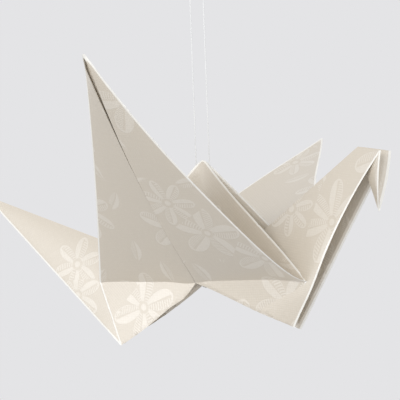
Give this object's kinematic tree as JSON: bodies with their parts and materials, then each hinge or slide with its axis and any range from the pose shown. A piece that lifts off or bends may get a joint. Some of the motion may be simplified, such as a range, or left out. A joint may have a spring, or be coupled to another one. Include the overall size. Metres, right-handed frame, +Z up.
{
  "type": "origami bird",
  "caption": "Hanging bird folded from one square of pearly paper, with raised wings, a bent beak and a loop of clear thread.",
  "frame": {"origin": "inside top of the hanging eye of the thread, straight above the tip of the bird's back", "axes": "+X along the body towards the head, +Z up along the thread, and the higher wing on -Y"},
  "size_m": [0.1238, 0.1193, 0.1052],
  "materials": {
    "paper": "pearly ivory, fine woven emboss, tone on tone flowers",
    "thread": "clear nylon"
  },
  "bodies": {
    "root": {"folded_sheet": "paper", "hanging_thread": "thread"}
  },
  "joints": []
}
